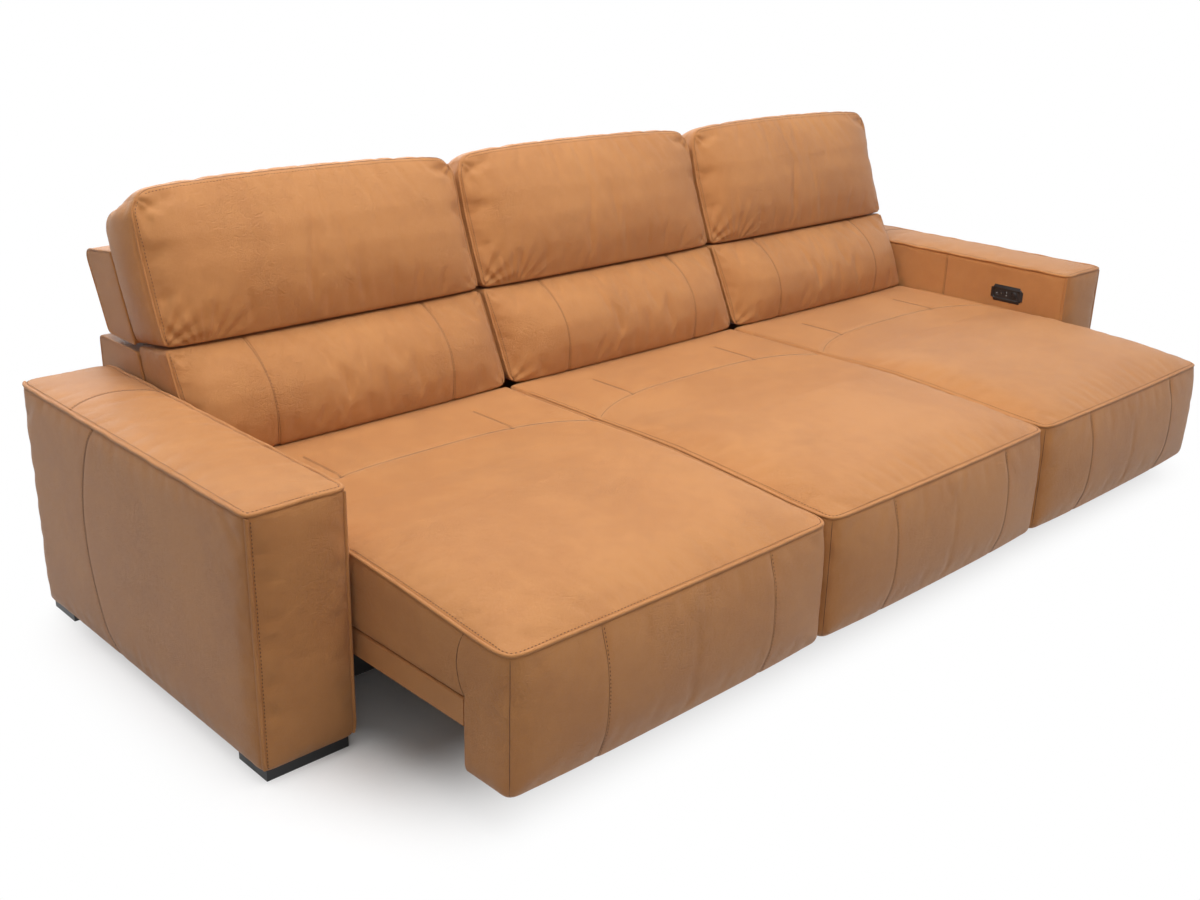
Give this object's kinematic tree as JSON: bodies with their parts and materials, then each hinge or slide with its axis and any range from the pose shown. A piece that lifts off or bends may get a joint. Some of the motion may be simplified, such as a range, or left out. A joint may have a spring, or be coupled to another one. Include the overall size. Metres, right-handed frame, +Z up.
{
  "type": "reclining sofa",
  "caption": "Leather reclining sofa with box arms, seats that slide forward on electric drives, split back cushions with tipping head sections and a switch plate on one arm.",
  "frame": {"origin": "on the floor, below the middle of the sofa's outline with the seats pulled out", "axes": "+X to the viewer's right along the sofa, -Y to the front, +Z up"},
  "size_m": [3.283, 1.5912, 1.0375],
  "materials": {
    "leather": "semi-aniline leather with a soft satin finish",
    "timber": "sawn softwood and plywood",
    "black_timber": "black painted timber",
    "black_plastic": "matte black",
    "steel": "zinc plated steel",
    "hinge_steel": "black oxide",
    "webbing": "woven elastic",
    "drive_black": "moulded plastic",
    "switch_black": "satin black",
    "button_black": "matte black"
  },
  "bodies": {
    "root": {"arm_cover_left": "leather", "arm_frame_left": "timber", "arm_cover_right": "leather", "arm_frame_right": "timber", "arm_feet": "black_plastic", "base_legs": "black_plastic", "base_frame": "black_timber", "slide_outer_left": "steel", "seat_motor_left": "drive_black", "lower_back_left": "leather", "lumbar_cushion_left": "leather", "hinge_lower_left": "hinge_steel", "slide_outer_middle": "steel", "seat_motor_middle": "drive_black", "lower_back_middle": "leather", "lumbar_cushion_middle": "leather", "hinge_lower_middle": "hinge_steel", "slide_outer_right": "steel", "seat_motor_right": "drive_black", "lower_back_right": "leather", "lumbar_cushion_right": "leather", "hinge_lower_right": "hinge_steel", "switch_plate": "switch_black", "power_supply": "drive_black"},
    "seat_left": {"seat_frame_left": "timber", "seat_rails_left": "leather", "seat_webbing_left": "webbing", "seat_cushion_left": "leather", "seat_front_left": "leather", "slide_inner_left": "steel", "actuator_rod_left": "steel"},
    "slide_left": {"slide_middle_left": "steel"},
    "back_left": {"upper_back_left": "leather", "head_cushion_left": "leather", "hinge_upper_left": "hinge_steel"},
    "seat_middle": {"seat_frame_middle": "timber", "seat_rails_middle": "leather", "seat_webbing_middle": "webbing", "seat_cushion_middle": "leather", "seat_front_middle": "leather", "slide_inner_middle": "steel", "actuator_rod_middle": "steel"},
    "slide_middle": {"slide_middle_middle": "steel"},
    "back_middle": {"upper_back_middle": "leather", "head_cushion_middle": "leather", "hinge_upper_middle": "hinge_steel"},
    "seat_right": {"seat_frame_right": "timber", "seat_rails_right": "leather", "seat_webbing_right": "webbing", "seat_cushion_right": "leather", "seat_front_right": "leather", "slide_inner_right": "steel", "actuator_rod_right": "steel"},
    "slide_right": {"slide_middle_right": "steel"},
    "back_right": {"upper_back_right": "leather", "head_cushion_right": "leather", "hinge_upper_right": "hinge_steel"},
    "rocker": {"rocker_button": "button_black"},
    "round": {"round_button": "button_black"}
  },
  "joints": [
    {"name": "seat_slide_left", "type": "slide", "parent": "root", "child": "seat_left", "axis": [0, 1, 0], "range_m": [0, 0.43]},
    {"name": "middle_slide_left", "type": "slide", "parent": "root", "child": "slide_left", "axis": [0, 1, 0], "range_m": [0, 0.215]},
    {"name": "head_tilt_left", "type": "hinge", "parent": "root", "child": "back_left", "pos_m": [-0.9405, 0.5, 0.6845], "axis": [1, 0, 0], "range_deg": [0, 24]},
    {"name": "seat_slide_middle", "type": "slide", "parent": "root", "child": "seat_middle", "axis": [0, 1, 0], "range_m": [0, 0.43]},
    {"name": "middle_slide_middle", "type": "slide", "parent": "root", "child": "slide_middle", "axis": [0, 1, 0], "range_m": [0, 0.215]},
    {"name": "head_tilt_middle", "type": "hinge", "parent": "root", "child": "back_middle", "pos_m": [0, 0.5, 0.6845], "axis": [1, 0, 0], "range_deg": [0, 24]},
    {"name": "seat_slide_right", "type": "slide", "parent": "root", "child": "seat_right", "axis": [0, 1, 0], "range_m": [0, 0.43]},
    {"name": "middle_slide_right", "type": "slide", "parent": "root", "child": "slide_right", "axis": [0, 1, 0], "range_m": [0, 0.215]},
    {"name": "head_tilt_right", "type": "hinge", "parent": "root", "child": "back_right", "pos_m": [0.9405, 0.5, 0.6845], "axis": [1, 0, 0], "range_deg": [0, 24]},
    {"name": "rocker_press", "type": "slide", "parent": "root", "child": "rocker", "axis": [1, 0, 0], "range_m": [0, 0.0015], "stiffness_N_per_m": 800},
    {"name": "round_press", "type": "slide", "parent": "root", "child": "round", "axis": [1, 0, 0], "range_m": [0, 0.0015], "stiffness_N_per_m": 800}
  ],
  "couplings": [
    {"joint": "middle_slide_left", "follows": "seat_slide_left", "ratio": 0.5},
    {"joint": "middle_slide_middle", "follows": "seat_slide_middle", "ratio": 0.5},
    {"joint": "middle_slide_right", "follows": "seat_slide_right", "ratio": 0.5}
  ]
}
